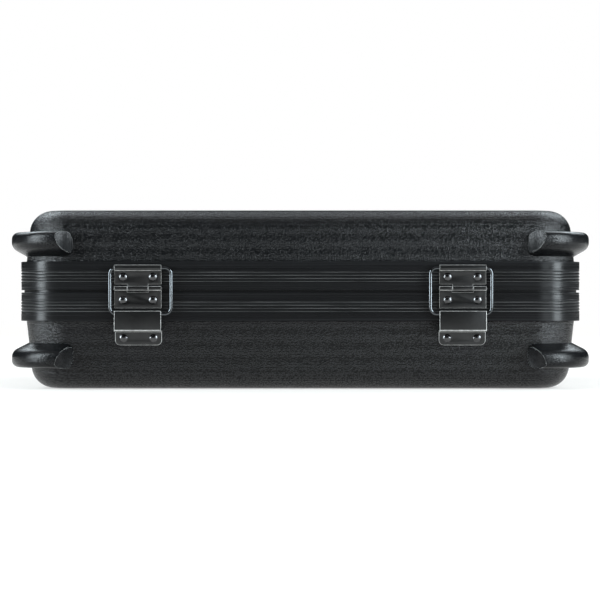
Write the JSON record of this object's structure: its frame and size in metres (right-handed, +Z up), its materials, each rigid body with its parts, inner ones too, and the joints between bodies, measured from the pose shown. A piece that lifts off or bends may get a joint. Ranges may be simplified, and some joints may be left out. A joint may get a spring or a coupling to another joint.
{
  "type": "effects processor case",
  "caption": "Flat moulded hard case for an effects processor, with an aluminium valance, stay hinges, spring catches, corner bumper fins, a carrying handle and a foam lining.",
  "frame": {"origin": "on the ground under the middle of the closed case", "axes": "+X along the case's length, to the right as seen from the hinge side; +Y from the hinge side to the handle side; +Z up through the lid"},
  "size_m": [0.5156, 0.3656, 0.158],
  "materials": {
    "shell_plastic": "pebble grained black moulded plastic",
    "valance_black": "black anodised, ribbed along its length",
    "hardware_black": "black plated pressed steel with lighter edges",
    "stay_wire": "black nickel plated round wire",
    "bright_steel": "bright zinc plated",
    "rivet_black": "polished black nickel domes",
    "grip_plastic": "smooth satin black plastic",
    "foam_grey": "charcoal open-cell foam"
  },
  "bodies": {
    "base": {"base_shell": "shell_plastic", "base_valance": "valance_black", "base_foam_tray": "foam_grey", "hinge_base_leaf_left": "hardware_black", "hinge_pin_left": "bright_steel", "stay_keeper_left": "hardware_black", "keeper_strap_left": "bright_steel", "catch_body_left": "hardware_black", "catch_spring_left": "bright_steel", "handle_bracket_left": "hardware_black", "handle_pin_left": "bright_steel", "base_leaf_rivet_left_1": "rivet_black", "base_leaf_rivet_left_2": "rivet_black", "keeper_rivet_left_1": "rivet_black", "keeper_rivet_left_2": "rivet_black", "catch_rivet_left_1": "rivet_black", "catch_rivet_left_2": "rivet_black", "bracket_rivet_left_1": "rivet_black", "bracket_rivet_left_2": "rivet_black", "hinge_base_leaf_right": "hardware_black", "hinge_pin_right": "bright_steel", "stay_keeper_right": "hardware_black", "keeper_strap_right": "bright_steel", "catch_body_right": "hardware_black", "catch_spring_right": "bright_steel", "handle_bracket_right": "hardware_black", "handle_pin_right": "bright_steel", "base_leaf_rivet_right_1": "rivet_black", "base_leaf_rivet_right_2": "rivet_black", "keeper_rivet_right_1": "rivet_black", "keeper_rivet_right_2": "rivet_black", "catch_rivet_right_1": "rivet_black", "catch_rivet_right_2": "rivet_black", "bracket_rivet_right_1": "rivet_black", "bracket_rivet_right_2": "rivet_black"},
    "lid": {"lid_shell": "shell_plastic", "lid_valance": "valance_black", "lid_foam_pad": "foam_grey", "hinge_lid_leaf_left": "hardware_black", "hasp_plate_left": "hardware_black", "hasp_pin_left": "bright_steel", "lid_leaf_rivet_left_1": "rivet_black", "lid_leaf_rivet_left_2": "rivet_black", "hasp_plate_rivet_left_1": "rivet_black", "hasp_plate_rivet_left_2": "rivet_black", "hinge_lid_leaf_right": "hardware_black", "hasp_plate_right": "hardware_black", "hasp_pin_right": "bright_steel", "lid_leaf_rivet_right_1": "rivet_black", "lid_leaf_rivet_right_2": "rivet_black", "hasp_plate_rivet_right_1": "rivet_black", "hasp_plate_rivet_right_2": "rivet_black"},
    "stay_left": {"stay_loop_left": "stay_wire"},
    "hasp_left": {"hasp_left": "hardware_black"},
    "button_left": {"catch_button_left": "hardware_black"},
    "stay_right": {"stay_loop_right": "stay_wire"},
    "hasp_right": {"hasp_right": "hardware_black"},
    "button_right": {"catch_button_right": "hardware_black"},
    "handle": {"handle": "grip_plastic"}
  },
  "joints": [
    {"name": "lid_hinge", "type": "hinge", "parent": "base", "child": "lid", "pos_m": [0, -0.17755, 0.0884], "axis": [1, 0, 0], "range_deg": [0, 90]},
    {"name": "stay_pivot_left", "type": "hinge", "parent": "lid", "child": "stay_left", "pos_m": [-0.1397, -0.17815, 0.1064], "axis": [1, 0, 0], "range_deg": [-59.41, 0]},
    {"name": "stay_pivot_right", "type": "hinge", "parent": "lid", "child": "stay_right", "pos_m": [0.1405, -0.17815, 0.1064], "axis": [1, 0, 0], "range_deg": [-59.41, 0]},
    {"name": "hasp_hinge_left", "type": "hinge", "parent": "lid", "child": "hasp_left", "pos_m": [-0.15, 0.17755, 0.09325], "axis": [1, 0, 0], "range_deg": [0, 120]},
    {"name": "button_slide_left", "type": "slide", "parent": "base", "child": "button_left", "axis": [-1, 0, 0], "range_m": [0, 0.0045], "stiffness_N_per_m": 120, "deforming": ["catch_spring_left"]},
    {"name": "hasp_hinge_right", "type": "hinge", "parent": "lid", "child": "hasp_right", "pos_m": [0.15, 0.17755, 0.09325], "axis": [1, 0, 0], "range_deg": [0, 120]},
    {"name": "button_slide_right", "type": "slide", "parent": "base", "child": "button_right", "axis": [1, 0, 0], "range_m": [0, 0.0045], "stiffness_N_per_m": 120, "deforming": ["catch_spring_right"]},
    {"name": "handle_hinge", "type": "hinge", "parent": "base", "child": "handle", "pos_m": [0, 0.1799, 0.07245], "axis": [1, 0, 0], "range_deg": [0, 100]}
  ],
  "couplings": [
    {"joint": "stay_pivot_left", "follows": "lid_hinge", "ratio": -0.66},
    {"joint": "stay_pivot_right", "follows": "lid_hinge", "ratio": -0.66}
  ]
}
